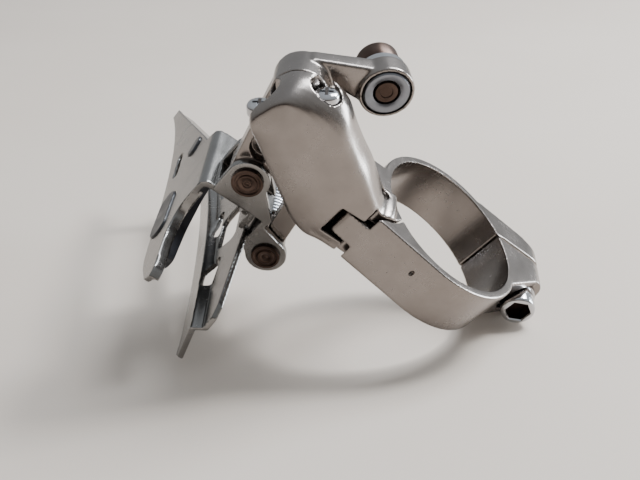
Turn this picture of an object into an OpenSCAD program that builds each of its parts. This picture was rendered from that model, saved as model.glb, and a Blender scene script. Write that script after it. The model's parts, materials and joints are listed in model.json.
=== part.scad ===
// Front derailleur for a double chainset, with a hinged band for the seat tube.
// Frame: origin at the centre of the seat tube bore, +Z up the tube, +X forward,
// +Y to the bicycle's left, so the cage hangs on the drive side at negative Y.
// All four pivots of the parallelogram lie along X.

/* [Clamp] */
// Radius of the seat tube that the band holds
tube_r = 15.9; // [15.8:0.05:16.0]
// Height of the band along the tube
band_h = 11.7; // [11:0.1:12.5]
// Wall of the band
band_wall = 1.75; // [1.6:0.05:2.2]
// Place of the split on the inboard side, along X
split_x = -8; // [-9:0.5:-7]
// Distance from the tube's axis to the clamp bolt
bolt_y = 24.3; // [24:0.1:24.6]
// Reach of the two tabs that the clamp bolt pulls together
tab_reach = 27.7; // [27.5:0.1:28]
// Place of the band's hinge pin, X then Y
hinge_at = [6.4, -18.2];

/* [Parallelogram] */
// Upper outer pivot, Y then Z
pivot_c = [-42.5, 12.0];
// Lower end of both links, measured from their upper end, Y then Z
link_vec = [3.8, -21.4];
// Inner pivots, measured from the outer ones, Y then Z
cage_vec = [13.4, -12.6];
// Radius of the four pivot pins
pin_r = 2.0; // [1.8:0.1:2.1]
// Running clearance of a pin in its bush
run_gap = 0.05; // [0.02:0.01:0.1]

/* [Cable arm] */
// Centre of the cable boss's front face
boss_at = [0, -29.4, 20.1];
// Turn of the boss about Z and then its lean about Y, in degrees
boss_turn = 11.6; // [8:0.2:13]
boss_lean = -3.7; // [-5:0.1:0]
// Radius of the cable boss
boss_r = 5.2; // [5:0.1:5.4]
// Thickness of the cable boss
boss_t = 4.6; // [4:0.1:5]

/* [Cage] */
// Thickness of the cage's steel sheet
sheet = 1.2; // [1:0.1:1.2]
// Outboard face of the outer plate, along Y
outer_face = -45.2; // [-45.6:0.1:-45]
// Inboard face of the inner plate, along Y
inner_face = -31.0; // [-31.2:0.1:-31]
// Top of the bridge that joins the plates, along Z
bridge_top = -15.4; // [-15.6:0.1:-15.3]
// Radius of the outer plate's lower edge
edge_r = 150; // [148:1:152]
// Radius of the inner plate's lower edge
inner_edge_r = 192; // [190:1:194]
// Depth of the step pressed into the inner plate
step_depth = 1.8; // [1.2:0.1:2]

/* [Limit screws] */
// Radius of the screws' shanks
screw_r = 1.7; // [1.6:0.05:1.8]
// Radius of their heads
screw_head_r = 2.3; // [2.2:0.05:2.4]
// Place of both screws along X
screw_x = 7.5; // [7.3:0.1:7.7]
// Lean of the screws' axes from upright, towards the drive side
screw_tilt = 38.2; // [37:0.1:39]
// Distances of the two screws from the upper outer pivot, to either side
high_t = -6.8; // [-7:0.1:-6.6]
low_t = 4.9; // [4.8:0.1:5.2]

/* [Hidden] */
$fn = 48;
eps = 0.01;
half_h = band_h / 2;
band_r = tube_r + band_wall;
pivot_a = pivot_c + link_vec;
pivot_d = pivot_c + cage_vec;
pivot_b = pivot_d + link_vec;
bush_r = pin_r + 0.75;
hub_r = 5.3;
hub_x = [-2.2, 4.95];
eye_x = [-3, 3];
ear_x = [3.2, 4.8];
wall_x = [5.1, 14];
front_x = 13.5;
inner_hub_x = [-3.2, 4.9];
inner_eye_x = [-4.4, 2.9];
inner_leg_x = [0.3, 2.9];
knuckle_h = 5.5;
slot_h = 6.0;
hinge_pin_r = 1.2;
ear_end_r = 5.9;
swing_room = 14.5;
clamp_bolt_r = 2.5;
clamp_bolt_x = [-15.9, 3.7];
clamp_head_l = 4.4;
clamp_head_r = 3.6;
seat_x = clamp_bolt_x[1] - clamp_head_l - 0.6;
high_head = [-2.0, 0.2];
low_head = [0.6, 2.8];
screw_tip = -4.5;
cable_bolt_r = 2.45;
cable_nut_r = 4.3;
cable_head_r = 4.1;
inner_cage = inner_face - sheet;
outer_in = outer_face + sheet;
bracket_t = 1.3;
bracket_rear_x = -16.6;
edge_at = [5, -184.8];
inner_edge_at = [19.6, -231.2];
fold_at = [34.8, -229.9];
fold_r = 200;
rivets_at = [[-10.5, -18.4], [-1, -18.4]];
rivet_r = 1.25;
rivet_head_r = 1.75;
spacer_at = [-48, -42.6];
spacer_r = 1.75;
pad_t = 2.9;

// ---- helpers ----

// Cylinder along X about the point (y, z) of p
module along_x(p, x0, x1, r) {
    translate([x0, p[0], p[1]]) rotate([0, 90, 0]) cylinder(h = x1 - x0, r = r);
}

// Cylinder along Y about the point (x, z) of p
module along_y(p, y0, y1, r) {
    translate([p[0], y1, p[1]]) rotate([90, 0, 0]) cylinder(h = y1 - y0, r = r);
}

// Extrudes a drawing in the YZ plane from x0 to x1
module yz(x0, x1) {
    translate([x0, 0, 0]) rotate([90, 0, 90]) linear_extrude(x1 - x0) children();
}

// Extrudes a drawing in the XZ plane from y0 to y1
module xz(y0, y1) {
    translate([0, y1, 0]) rotate([90, 0, 0]) linear_extrude(y1 - y0) children();
}

// Extrudes a drawing in the XY plane from z0 to z1
module xy(z0, z1) {
    translate([0, 0, z0]) linear_extrude(z1 - z0) children();
}

// Places children at the limit screws, with +Z along a screw's axis, head up,
// and +X across the two screws
module at_screws(t) {
    translate([0, pivot_c[0], pivot_c[1]]) rotate([screw_tilt, 0, 0])
        translate([screw_x, t, 0]) children();
}

// Places children at the cable boss, with +X along the cable bolt
module at_boss() {
    translate(boss_at) rotate([0, boss_lean, boss_turn]) rotate([0, 90, 0]) children();
}

// Slot with round ends between two points of a drawing
module slot2d(a, b, r) {
    hull() {
        translate(a) circle(r, $fn = 32);
        translate(b) circle(r, $fn = 32);
    }
}

// ---- clamp ----

module ring2d() {
    difference() {
        circle(band_r, $fn = 96);
        circle(tube_r, $fn = 96);
    }
}

// Rear half of the ring with its tab, seen from above
module rear_half2d() {
    difference() {
        union() {
            circle(band_r, $fn = 96);
            polygon([[0, 10], [0, tab_reach], [-12.4, tab_reach - 1.6], [-14.2, 22], [-15.6, 9]]);
        }
        polygon([[split_x - 0.2, 4], [split_x - 0.2, 40], [40, 40], [40, -54], [3, -8]]);
    }
}

// Clamp end of the body, seen from above
module clamp_end2d() {
    polygon([[front_x, -26], [front_x, -20.5], [12, -14], [6, -12], [-3.6, -12], [-3.6, -25.4],
             [4.4, -25.4], [5.1, -26]]);
}

// Room between the ears for the band's knuckle
module knuckle_room2d() {
    translate(hinge_at) circle(3.4);
    polygon([[3.4, -18.2], [3.4, -14], [20, -10], [20, -24.8], [9, -24.8]]);
}

// Everything past the ears' round ends, as far down as the opened band swings
module past_ears2d() {
    translate(hinge_at) difference() {
        polygon([[0, 0], [20, -20 * tan(swing_room)], [20, 20], [0, 20]]);
        circle(ear_end_r);
    }
}

// Front of the band where it thickens towards the hinge, tangent to the ring
module band_shoulder2d() {
    intersection() {
        hull() {
            circle(band_r, $fn = 96);
            translate([11.9, -22.3]) circle(1.2, $fn = 24);
        }
        polygon([[4, -26], [30, -26], [30, 0], [15, 0], [10, -11]]);
    }
}

module knuckle2d() {
    difference() {
        union() {
            translate(hinge_at) circle(3.0);
            intersection() {
                band_shoulder2d();
                polygon([[9.8, -26], [5.2, -20.9], [4.6, -15.9], [9, -10], [20, -10], [20, -26]]);
            }
        }
        circle(tube_r, $fn = 96);
    }
}

// Rounded ends of the tabs, seen along the clamp bolt
module tab_limits() {
    yz(-20, 20) union() {
        translate([-40, -half_h]) square([40 + tab_reach - 3.6, band_h]);
        translate([-40, -half_h + 3.6]) square([40 + tab_reach, band_h - 7.2]);
        for (z = [-1, 1]) translate([tab_reach - 3.6, z * (half_h - 3.6)]) circle(3.6);
    }
}

// Front half of the ring with its tab and its thick end at the hinge
module front_half2d() {
    difference() {
        union() {
            ring2d();
            band_shoulder2d();
            polygon([[split_x + 0.3, 12], [split_x + 0.3, tab_reach], [seat_x, tab_reach],
                     [-1.2, 25], [5.6, 16.7]]);
        }
        circle(tube_r, $fn = 96);
        translate(hinge_at) circle(ear_end_r + 0.3);
        polygon([[split_x + 0.3, 0], [split_x + 0.3, 40], [-40, 40], [-40, -40], [30, -40],
                 [0, 0]]);
    }
}

module clamp_band() {
    color("silver") difference() {
        union() {
            intersection() {
                xy(-half_h, half_h) front_half2d();
                tab_limits();
            }
            xy(-knuckle_h / 2, knuckle_h / 2) knuckle2d();
        }
        translate([hinge_at[0], hinge_at[1], 0])
            cylinder(h = band_h, r = hinge_pin_r + run_gap, center = true);
        along_x([bolt_y, 0], -20, 20, clamp_bolt_r + 0.25);
        along_x([bolt_y, 0], seat_x, 20, 4.3);
    }
}

module band_hinge_pin() {
    color("gray") translate([hinge_at[0], hinge_at[1], -half_h + 0.3])
        cylinder(h = band_h - 0.5, r = hinge_pin_r);
}

module clamp_bolt() {
    color("lightgray") difference() {
        union() {
            along_x([bolt_y, 0], clamp_bolt_x[0], 0, clamp_bolt_r);
            along_x([bolt_y, 0], clamp_bolt_x[1] - clamp_head_l, clamp_bolt_x[1] - 0.5, clamp_head_r);
            along_x([bolt_y, 0], clamp_bolt_x[1] - 0.6, clamp_bolt_x[1], clamp_head_r - 0.35);
        }
        translate([clamp_bolt_x[1] - 3, bolt_y, 0]) rotate([0, 90, 0])
            cylinder(h = 4, r = 2.6, $fn = 6);
    }
}

module clamp_washer() {
    color("silver") difference() {
        along_x([bolt_y, 0], seat_x + eps, clamp_bolt_x[1] - clamp_head_l - eps, 4.0);
        along_x([bolt_y, 0], seat_x - 1, seat_x + 2, clamp_bolt_r + 0.2);
    }
}

module clamp_nut() {
    color("dimgray") difference() {
        translate([-15.6, bolt_y, 0]) rotate([0, 90, 0]) cylinder(h = 3.2, r = 4.0, $fn = 6);
        along_x([bolt_y, 0], -20, 0, clamp_bolt_r + 0.45);
    }
}

// ---- body ----

module body_outline2d() {
    polygon([[-24, -6.6], [-26.2, -7], [-30, -6.1], [-35, -3], [-41.7, 1.3], [-45.4, 3.6],
             [-48.4, 6], [-49.3, 7.8], [-48.2, 10.2], [-45, 14], [-42, 16.9], [-38.4, 17],
             [-35.6, 15.9], [-32.7, 14.2], [-26.7, 10.9], [-20.7, 7.2], [-17, half_h],
             [-17, -half_h], [-20, -half_h]]);
}

// Room inside the front wall for the stop pads of the outer link
module stop_room() {
    translate([0, pivot_c[0], pivot_c[1]]) rotate([screw_tilt, 0, 0])
        translate([wall_x[0] - 1, -10, -15]) cube([5.7, 18, 15 + screw_tip]);
}

module body() {
    color("silver") difference() {
        union() {
            yz(wall_x[0], 12.6) body_outline2d();
            yz(12.6, 13.4) offset(delta = -0.5) body_outline2d();
            yz(13.4, wall_x[1]) offset(delta = -1.3) body_outline2d();
            yz(1.4, wall_x[0] + eps)
                polygon([[-32.4, 13.9], [-26.7, 10.9], [-20.7, 7.2], [-17, 3], [-24.9, 3],
                         [-24.9, 7], [-31, 11.2]]);
            xy(-half_h, half_h) clamp_end2d();
            intersection() {
                xy(-half_h, half_h) rear_half2d();
                tab_limits();
            }
            yz(-5.9, -3.5) hull() {
                translate(pivot_d) circle(4, $fn = 32);
                translate([-18, -5]) square([2, 8]);
            }
        }
        // the seat tube, the ears' ends and the knuckle
        cylinder(h = 60, r = tube_r, center = true, $fn = 96);
        xy(-20, 20) past_ears2d();
        xy(-slot_h / 2, slot_h / 2) knuckle_room2d();
        translate([hinge_at[0], hinge_at[1], 0])
            cylinder(h = 40, r = hinge_pin_r + eps, center = true);
        along_x([bolt_y, 0], -30, 0, clamp_bolt_r + 0.75);
        along_x([bolt_y, 0], -30, -12.3, 4.6);
        // pivots
        along_x(pivot_c, 0, 12.02, pin_r + eps);
        along_x(pivot_d, -10, 11.02, pin_r + eps);
        along_x(pivot_d, inner_hub_x[0] - 0.15, wall_x[0], 4.2);
        stop_room();
        // limit screws
        at_screws(high_t) translate([0, 0, -20]) cylinder(h = 30, r = screw_r + 0.05);
        at_screws(low_t) translate([0, 0, -20]) cylinder(h = 30, r = screw_r + 0.05);
        at_screws(high_t) translate([0, 0, high_head[0] - 0.2]) cylinder(h = 12, r = 2.7);
        at_screws(low_t) translate([0, 0, low_head[0] - 0.2]) cylinder(h = 12, r = 2.7);
    }
}

// Cross-head screw with its tip at the bottom of its travel
module limit_screw(head) {
    color("lightgray") difference() {
        union() {
            translate([0, 0, screw_tip]) cylinder(h = head[0] - screw_tip + eps, r = screw_r);
            translate([0, 0, head[0]]) cylinder(h = head[1] - head[0] - 0.5, r = screw_head_r);
            translate([0, 0, head[1] - 0.6]) cylinder(h = 0.6, r = screw_head_r - 0.35);
        }
        for (turn = [0, 90]) rotate([0, 0, turn])
            translate([-1.5, -0.35, head[1] - 1]) cube([3, 0.7, 2]);
    }
}

module high_limit_screw() { at_screws(high_t) limit_screw(high_head); }

module low_limit_screw() { at_screws(low_t) limit_screw(low_head); }

// ---- links ----

// Stop pads that meet the tips of the limit screws
module stop_pads() {
    translate([0, pivot_c[0], pivot_c[1]]) rotate([screw_tilt, 0, 0]) {
        yz(hub_x[1] - 2, hub_x[1] + 4.2) {
            polygon([[2.2, -4.75], [7, -4.75], [7, -9.4], [-0.6, -9.4], [-0.6, -6.2]]);
            polygon([[-0.4, -8.6], [-0.4, -13], [-5.4, -13], [-5.4, -9.2]]);
        }
    }
}

module outer_link() {
    color("silver") difference() {
        union() {
            along_x(pivot_c, hub_x[0], hub_x[1], hub_r);
            along_x(pivot_a, eye_x[0], eye_x[1], 4.0);
            yz(hub_x[0], eye_x[1]) hull() {
                translate(pivot_c) circle(4.9, $fn = 32);
                translate(pivot_a) circle(3.9, $fn = 32);
            }
            hull() {
                yz(hub_x[0], 1.0) polygon([[-45.2, 16.2], [-38.7, 15.2], [-40, 17], [-44, 17.2]]);
                at_boss() translate([0, 0, -boss_t + 0.2])
                    cylinder(h = boss_t - 0.4, r = boss_r - 0.9, $fn = 32);
            }
            at_boss() translate([0, 0, -boss_t]) cylinder(h = boss_t, r = boss_r);
            stop_pads();
        }
        // channel in the front of the leg
        yz(0.6, eye_x[1] + 1) slot2d(pivot_c + link_vec * 0.4, pivot_c + link_vec * 0.68, 2.9);
        along_x(pivot_c, -5, 8, bush_r + eps);
        along_x(pivot_a, -5, 8, bush_r + eps);
        at_boss() translate([0, 0, -boss_t - 1]) cylinder(h = boss_t + 2, r = cable_bolt_r + 0.05);
        at_boss() translate([0, 0, -boss_t - 4]) cylinder(h = 4, r = boss_r + 0.2);
        at_boss() translate([0, 0, -1.2]) cylinder(h = 2, r = cable_nut_r + 0.3);
    }
}

module inner_link() {
    color("silver") difference() {
        union() {
            along_x(pivot_d, inner_hub_x[0], inner_hub_x[1], 3.8);
            along_x(pivot_b, inner_eye_x[0], inner_eye_x[1], 3.6);
            yz(inner_leg_x[0], inner_leg_x[1]) slot2d(pivot_d, pivot_b, 2.2);
        }
        along_x(pivot_d, -10, 10, bush_r + eps);
        along_x(pivot_b, -10, 10, bush_r + eps);
    }
}

module bush(p, x0, x1) {
    color("goldenrod") difference() {
        along_x(p, x0, x1, bush_r);
        along_x(p, x0 - 1, x1 + 1, pin_r + run_gap);
    }
}

module upper_outer_bush() { bush(pivot_c, hub_x[0], hub_x[1]); }

module upper_inner_bush() { bush(pivot_d, inner_hub_x[0], inner_hub_x[1]); }

module lower_outer_bush() { bush(pivot_a, eye_x[0], eye_x[1]); }

module lower_inner_bush() { bush(pivot_b, inner_eye_x[0], inner_eye_x[1]); }

// Pin with a groove for its clip near its rear end
module grooved_pin(p, x0, x1) {
    color("dimgray") difference() {
        along_x(p, x0, x1, pin_r);
        difference() {
            along_x(p, x0 + 0.5, x0 + 1.2, pin_r + 1);
            along_x(p, x0, x0 + 2, pin_r - 0.45);
        }
    }
}

module pin_clip(p, x0) {
    color("dimgray") yz(x0 + 0.55, x0 + 1.15) translate(p) difference() {
        circle(3.1);
        circle(pin_r - 0.4);
        rotate(-90) polygon([[0, 0], [5, -1.9], [5, 1.9]]);
    }
}

module upper_outer_pin() { grooved_pin(pivot_c, -3.9, 12); }

module upper_inner_pin() { grooved_pin(pivot_d, -7.6, 11); }

module pin_clips() {
    pin_clip(pivot_c, -3.9);
    pin_clip(pivot_d, -7.6);
}

// Pin with a turned head at the front
module headed_pin(p, x0, head_r) {
    grooved_pin(p, x0, ear_x[1] + 0.2);
    color("saddlebrown") difference() {
        along_x(p, ear_x[1] - 0.6, ear_x[1] + 0.7, head_r);
        difference() {
            along_x(p, ear_x[1] + 0.4, ear_x[1] + 1, head_r - 0.6);
            along_x(p, ear_x[1], ear_x[1] + 2, head_r - 1.2);
        }
    }
}

module lower_outer_pin() { headed_pin(pivot_a, -6.4, 3.1); }

module lower_inner_pin() { headed_pin(pivot_b, bracket_rear_x - 1.6, 2.9); }

module bracket_clips() {
    pin_clip(pivot_a, -6.4);
    pin_clip(pivot_b, bracket_rear_x - 1.6);
}

// ---- return spring ----

spring_turns = 9;
spring_mean_r = 3.6;
spring_wire_r = 0.48;
spring_front_x = -5.2;
spring_pitch = 1.02;
spring_sides = 8;
spring_steps = 14;

// Point of the coil's centre line after a number of turns
function coil_point(turn) = [spring_front_x - spring_pitch * turn,
                             pivot_b[0] + spring_mean_r * cos(360 * turn),
                             pivot_b[1] + spring_mean_r * sin(360 * turn)];

// Ring of wire section points about a point of the coil
function coil_ring(turn) = [for (i = [0 : spring_sides - 1])
    let (a = 360 * i / spring_sides)
    coil_point(turn) + spring_wire_r * [sin(a), cos(a) * cos(360 * turn), cos(a) * sin(360 * turn)]];

module return_spring() {
    rings = [for (i = [0 : spring_turns * spring_steps]) coil_ring(i / spring_steps)];
    last = len(rings) - 1;
    points = [for (ring = rings) for (p = ring) p];
    sides = [for (j = [0 : last - 1]) for (i = [0 : spring_sides - 1])
        let (k = (i + 1) % spring_sides)
        [j * spring_sides + i, j * spring_sides + k, (j + 1) * spring_sides + k,
         (j + 1) * spring_sides + i]];
    front_cap = [for (i = [spring_sides - 1 : -1 : 0]) i];
    rear_cap = [for (i = [0 : spring_sides - 1]) last * spring_sides + i];
    color("lightgray") polyhedron(points, concat(sides, [front_cap, rear_cap]), 4);
}

// ---- cable anchor ----

module cable_bolt() {
    color("saddlebrown") at_boss() {
        translate([0, 0, -6.2]) cylinder(h = 5.9, r = cable_bolt_r);
        translate([0, 0, -11.2]) cylinder(h = 5.01, r = cable_head_r);
    }
}

module cable_washer() {
    color("silver") at_boss() difference() {
        translate([0, 0, -6.18]) cylinder(h = 1.55, r = 4.8);
        translate([0, 0, -7]) cylinder(h = 3, r = cable_bolt_r + 0.1);
    }
}

module cable_nut() {
    color("silver") at_boss() difference() {
        translate([0, 0, -1.18]) cylinder(h = 1.28, r = cable_nut_r);
        translate([0, 0, -2]) cylinder(h = 3, r = cable_bolt_r + 0.1);
    }
}

// ---- cage ----

// Everything above the arc that a plate's lower edge follows
module above_edge2d(centre, r) {
    difference() {
        translate([-90, -75]) square([130, 80]);
        translate(centre) circle(r, $fn = 180);
    }
}

module outer_plate_outline2d() {
    intersection() {
        above_edge2d(edge_at, edge_r);
        polygon([[20.9, -28.6], [19, -27], [11, -27], [4.4, -24.6], [3.2, bridge_top],
                 [-15, bridge_top], [-16.5, -19.8], [-57.5, -45], [-61, -47.2], [-61, -52],
                 [8, -36], [14.9, -33.2], [19.6, -30.6]]);
    }
}

module big_window2d(r) { slot2d([-4.6, -31.4], [2.4, -32], r); }

module small_window2d(r) { slot2d([-19.9, -25], [-18.6, -26.2], r); }

// Strip along the side of the outer plate that a shift moves away from
module edge_strip2d(shift) {
    difference() {
        outer_plate_outline2d();
        translate(shift) outer_plate_outline2d();
    }
}

// Steel pressing: outer wall with lips along its front and its tail, bridge over
// the chain, and a short inner wall that the inner plate is riveted to
module cage_outer_plate() {
    color("lightgray") difference() {
        union() {
            xz(outer_face, outer_in) outer_plate_outline2d();
            xz(outer_face, inner_cage) polygon([[3.2, bridge_top], [3.2, bridge_top - sheet],
                [-15, bridge_top - sheet], [-15, bridge_top]]);
            xz(inner_cage - sheet, inner_cage - eps) polygon([[3.2, bridge_top], [3.2, -20.9],
                [-14, -20.9], [-15, bridge_top]]);
            xz(outer_face, outer_face + 4) intersection() {
                edge_strip2d([0.6, -1]);
                translate([-56, -60]) square([40.5, 50]);
            }
            xz(outer_face, outer_face + 2) intersection() {
                edge_strip2d([-0.5, -0.9]);
                translate([3.4, -60]) square(40);
            }
        }
        xz(outer_face - 1, outer_in + 1) {
            big_window2d(3);
            small_window2d(1.7);
            slot2d([-23.5, -32.9], [-16, -32.4], 1);
        }
        for (p = rivets_at) along_y(p, -40, -20, rivet_r + 0.02);
    }
}

module inner_plate_outline2d() {
    intersection() {
        above_edge2d(inner_edge_at, inner_edge_r);
        polygon([[22.5, -24.1], [24.6, -25.6], [25.3, -28], [25.4, -38.4], [24, -39.8], [20, -41],
                 [-40, -60], [-51, -52], [-52.5, -44], [-48, -38.5], [-22, -24],
                 [-15, bridge_top], [1, bridge_top], [3.3, -19.7]]);
    }
}

module inner_windows2d() {
    hull() {
        for (p = [[-7.2, -25.7], [0.4, -25.5], [-0.4, -29], [-6.8, -28.9]])
            translate(p) circle(1.7, $fn = 32);
    }
    slot2d([-12.5, -32.6], [-6, -32.2], 1.1);
    slot2d([6, -29.2], [11.4, -30.4], 1.3);
    slot2d([-34, -37], [-22, -33.5], 1.7);
}

// Section of the inner plate with its pressed step, swept along the fold
module inner_plate_sweep() {
    translate([fold_at[0], 0, fold_at[1]]) rotate([90, 0, 0])
        rotate_extrude($fn = 360) polygon([
            [fold_r - 9, -inner_face - 0.9], [fold_r, -inner_face + step_depth],
            [fold_r + 1.9, -inner_face], [fold_r + 30, -inner_face],
            [fold_r + 30, -inner_cage], [fold_r + 1.4, -inner_cage],
            [fold_r, -inner_cage + step_depth], [fold_r - 9, -inner_cage - 0.9]]);
}

module cage_inner_plate() {
    color("lightgray") difference() {
        intersection() {
            inner_plate_sweep();
            xz(inner_face - 5, inner_face + 1) difference() {
                inner_plate_outline2d();
                inner_windows2d();
            }
        }
        for (p = rivets_at) along_y(p, -40, -20, rivet_r + 0.02);
        along_y(spacer_at, -40, -20, 1.25);
    }
}

// Holder of the two lower pivots, riveted on top of the bridge and inboard of it
module cage_bracket() {
    leg = [inner_face, inner_face + bracket_t];
    color("silver") difference() {
        union() {
            for (x = [ear_x, [-ear_x[1], -ear_x[0]]]) {
                along_x(pivot_a, x[0], x[1], 4.3);
                yz(x[0], x[1]) polygon([[-42.8, bridge_top + eps], [-43, pivot_a[1]],
                    [-34.4, pivot_a[1]], [leg[1], bridge_top + 1.3], [leg[1], bridge_top + eps]]);
            }
            for (x = [ear_x, [bracket_rear_x, bracket_rear_x + 1.6]]) {
                along_x(pivot_b, x[0], x[1], 4.2);
                yz(x[0], x[1]) polygon([[leg[0] + eps, -22.4], [-27.5, -25.5],
                    [pivot_b[0], -17.8], [leg[0] + eps, -16]]);
            }
            translate([-ear_x[1], -42.8, bridge_top + eps])
                cube([2 * ear_x[1], leg[1] + 42.8, 1.3]);
            translate([bracket_rear_x, leg[0] + eps, -22.5])
                cube([ear_x[1] - bracket_rear_x, bracket_t - eps, bridge_top + 1.3 + 22.5]);
        }
        along_x(pivot_a, -20, 20, pin_r + eps);
        along_x(pivot_b, -20, 20, pin_r + eps);
        along_x(pivot_a, ear_x[1] - 0.6, 20, 3.12);
        along_x(pivot_b, ear_x[1] - 0.6, 20, 2.92);
        for (p = rivets_at) along_y(p, -40, -20, rivet_r + 0.02);
    }
}

module bracket_rivets() {
    color("lightgray") for (p = rivets_at) {
        along_y(p, inner_cage - sheet - 0.5, inner_face + bracket_t + 0.3, rivet_r);
        along_y(p, inner_face + bracket_t + eps, inner_face + bracket_t + 0.45, rivet_head_r);
        along_y(p, inner_cage - sheet - 0.7, inner_cage - sheet - eps, rivet_head_r);
    }
}

// Nylon pad inside the outer wall, with two studs that fill its windows
module glide_pad() {
    color("#202024") {
        xz(outer_in + eps, outer_in + pad_t) intersection() {
            above_edge2d(edge_at, edge_r + 1.2);
            polygon([[13, -29], [5.4, -27], [-1, -23], [-4, -19], [-14.8, -20.6], [-19, -23.2],
                     [-27, -28.2], [-25, -31], [-10, -36], [10, -36]]);
        }
        xz(outer_face - 0.4, outer_in + 0.5) big_window2d(2.9);
        xz(outer_face - 0.4, outer_in + 0.5) small_window2d(1.6);
    }
}

module cage_spacer() {
    color("gray") difference() {
        along_y(spacer_at, outer_in + eps, inner_cage - eps, spacer_r);
        along_y(spacer_at, -38, -20, 1.25);
    }
}

module cage_screw() {
    color("lightgray") difference() {
        union() {
            along_y(spacer_at, -37.5, inner_face + 0.4, 1.2);
            along_y(spacer_at, inner_face + eps, inner_face + 1.8, 2.4);
        }
        for (turn = [0, 90]) translate([spacer_at[0], inner_face + 2, spacer_at[1]])
            rotate([0, turn, 0]) translate([-1.5, -1, -0.35]) cube([3, 2, 0.7]);
    }
}

body();
clamp_band();
band_hinge_pin();
clamp_bolt();
clamp_washer();
clamp_nut();
outer_link();
inner_link();
upper_outer_pin();
upper_inner_pin();
lower_outer_pin();
lower_inner_pin();
pin_clips();
bracket_clips();
upper_outer_bush();
upper_inner_bush();
lower_outer_bush();
lower_inner_bush();
return_spring();
high_limit_screw();
low_limit_screw();
cable_bolt();
cable_washer();
cable_nut();
cage_outer_plate();
cage_inner_plate();
cage_bracket();
bracket_rivets();
glide_pad();
cage_spacer();
cage_screw();
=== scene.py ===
"""Looks of the front derailleur, built round its CAD model and in the same frame: +Z up
the seat tube, +X forward, +Y to the bicycle's left. Lengths in the code are millimetres,
and to_object() turns them into metres."""

import json
import math

import bmesh
import bpy
from mathutils import Matrix, Vector


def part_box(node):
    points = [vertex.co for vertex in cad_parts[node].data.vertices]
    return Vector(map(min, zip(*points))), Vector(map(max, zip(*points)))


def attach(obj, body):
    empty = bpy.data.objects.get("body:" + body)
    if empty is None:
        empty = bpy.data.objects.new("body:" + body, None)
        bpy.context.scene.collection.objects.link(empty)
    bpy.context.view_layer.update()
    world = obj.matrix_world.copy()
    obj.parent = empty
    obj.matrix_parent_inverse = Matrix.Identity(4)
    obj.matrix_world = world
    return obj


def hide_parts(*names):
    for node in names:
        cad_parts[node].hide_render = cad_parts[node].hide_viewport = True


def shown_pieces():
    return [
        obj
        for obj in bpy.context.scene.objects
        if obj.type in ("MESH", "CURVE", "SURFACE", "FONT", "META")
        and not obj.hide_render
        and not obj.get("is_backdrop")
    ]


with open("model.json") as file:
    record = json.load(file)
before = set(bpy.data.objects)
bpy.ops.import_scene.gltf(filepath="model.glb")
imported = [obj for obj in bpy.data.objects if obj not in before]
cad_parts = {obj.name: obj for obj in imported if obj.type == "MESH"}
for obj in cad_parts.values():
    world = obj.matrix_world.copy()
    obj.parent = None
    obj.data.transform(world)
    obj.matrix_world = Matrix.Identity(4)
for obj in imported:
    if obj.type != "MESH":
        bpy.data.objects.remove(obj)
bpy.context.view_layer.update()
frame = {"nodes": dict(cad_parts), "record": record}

MM = 0.001
TAU = 2 * math.pi

record = frame["record"]
joint = {j["name"]: j for j in record["behaviour"]["joints"]}


def joint_yz(name):
    """Y and Z of a pivot that lies along X."""
    pos = joint[name]["pos_m"]
    return (pos[1] / MM, pos[2] / MM)


def mm_box(node):
    """Lowest and highest corner of a CAD node, in millimetres."""
    low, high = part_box(node)
    return [c / MM for c in low], [c / MM for c in high]


def mm_mid(node):
    """Middle of a CAD node's box, in millimetres."""
    return [(a + b) / 2 for a, b in zip(*mm_box(node))]


# Pivots as (Y, Z): C and D on the body, outer and inner, A and B on the cage
PIVOT_C = joint_yz("shift")
PIVOT_D = joint_yz("inner_follow")
PIVOT_A = joint_yz("cage_follow")
PIVOT_B = (PIVOT_A[0] + PIVOT_D[0] - PIVOT_C[0], PIVOT_A[1] + PIVOT_D[1] - PIVOT_C[1])
HINGE = [c / MM for c in joint["band_open"]["pos_m"][:2]]
SCREW_AXIS = Vector(joint["high_limit_out"]["axis"])
SCREW_ACROSS = Vector((0, SCREW_AXIS.z, -SCREW_AXIS.y))

# Clamp: its bore, half its height, its outside and its bolt
BORE_R = record["mounts"][0]["dims"]["r_mm"]
HALF_H = record["mounts"][0]["dims"]["length_mm"] / 2
BAND_R = BORE_R + 1.75
BOLT_REAR, BOLT_FRONT = (corner[0] for corner in mm_box("clamp_bolt"))
BOLT_Y = mm_mid("clamp_bolt")[1]

# Cable boss: the middle of its face and the way it looks
BOSS_AXIS = -Vector(joint["cable_bolt_out"]["axis"])
BOSS_AT = Vector((0, -29.4, 20.1))

# Cage: the outer faces of its two plates, their sheet and the top of the bridge
OUTER_FACE = -45.2
INNER_FACE = -31.0
SHEET = 1.2
BRIDGE_TOP = -15.4
SPACER_X, _, SPACER_Z = mm_mid("cage_spacer")
RIVETS = [(-10.5, -18.4), (-1, -18.4)]

# Radii of the holes round the pivot pins, the bushes and the rivets
PIN_HOLE = 2.01
BUSH_HOLE = 2.76
RIVET_HOLE = 1.27


# ---------------------------------------------------------------- materials


def new_material(name):
    """A node material, its links and its shader."""
    mat = bpy.data.materials.new(name)
    mat.use_nodes = True
    tree = mat.node_tree
    return mat, tree, tree.nodes["Principled BSDF"]


def node(tree, kind, **values):
    """New shader node. Each value goes to the input of that name, or else to the property."""
    made = tree.nodes.new(kind)
    for key, value in values.items():
        if key in made.inputs:
            made.inputs[key].default_value = value
        else:
            setattr(made, key, value)
    return made


def noise(tree, vector, scale, detail=4.0, rough=0.6):
    """Value of a fractal noise at a vector."""
    made = node(tree, "ShaderNodeTexNoise", Scale=scale, Detail=detail, Roughness=rough)
    tree.links.new(vector, made.inputs["Vector"])
    return made.outputs["Fac"]


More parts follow.
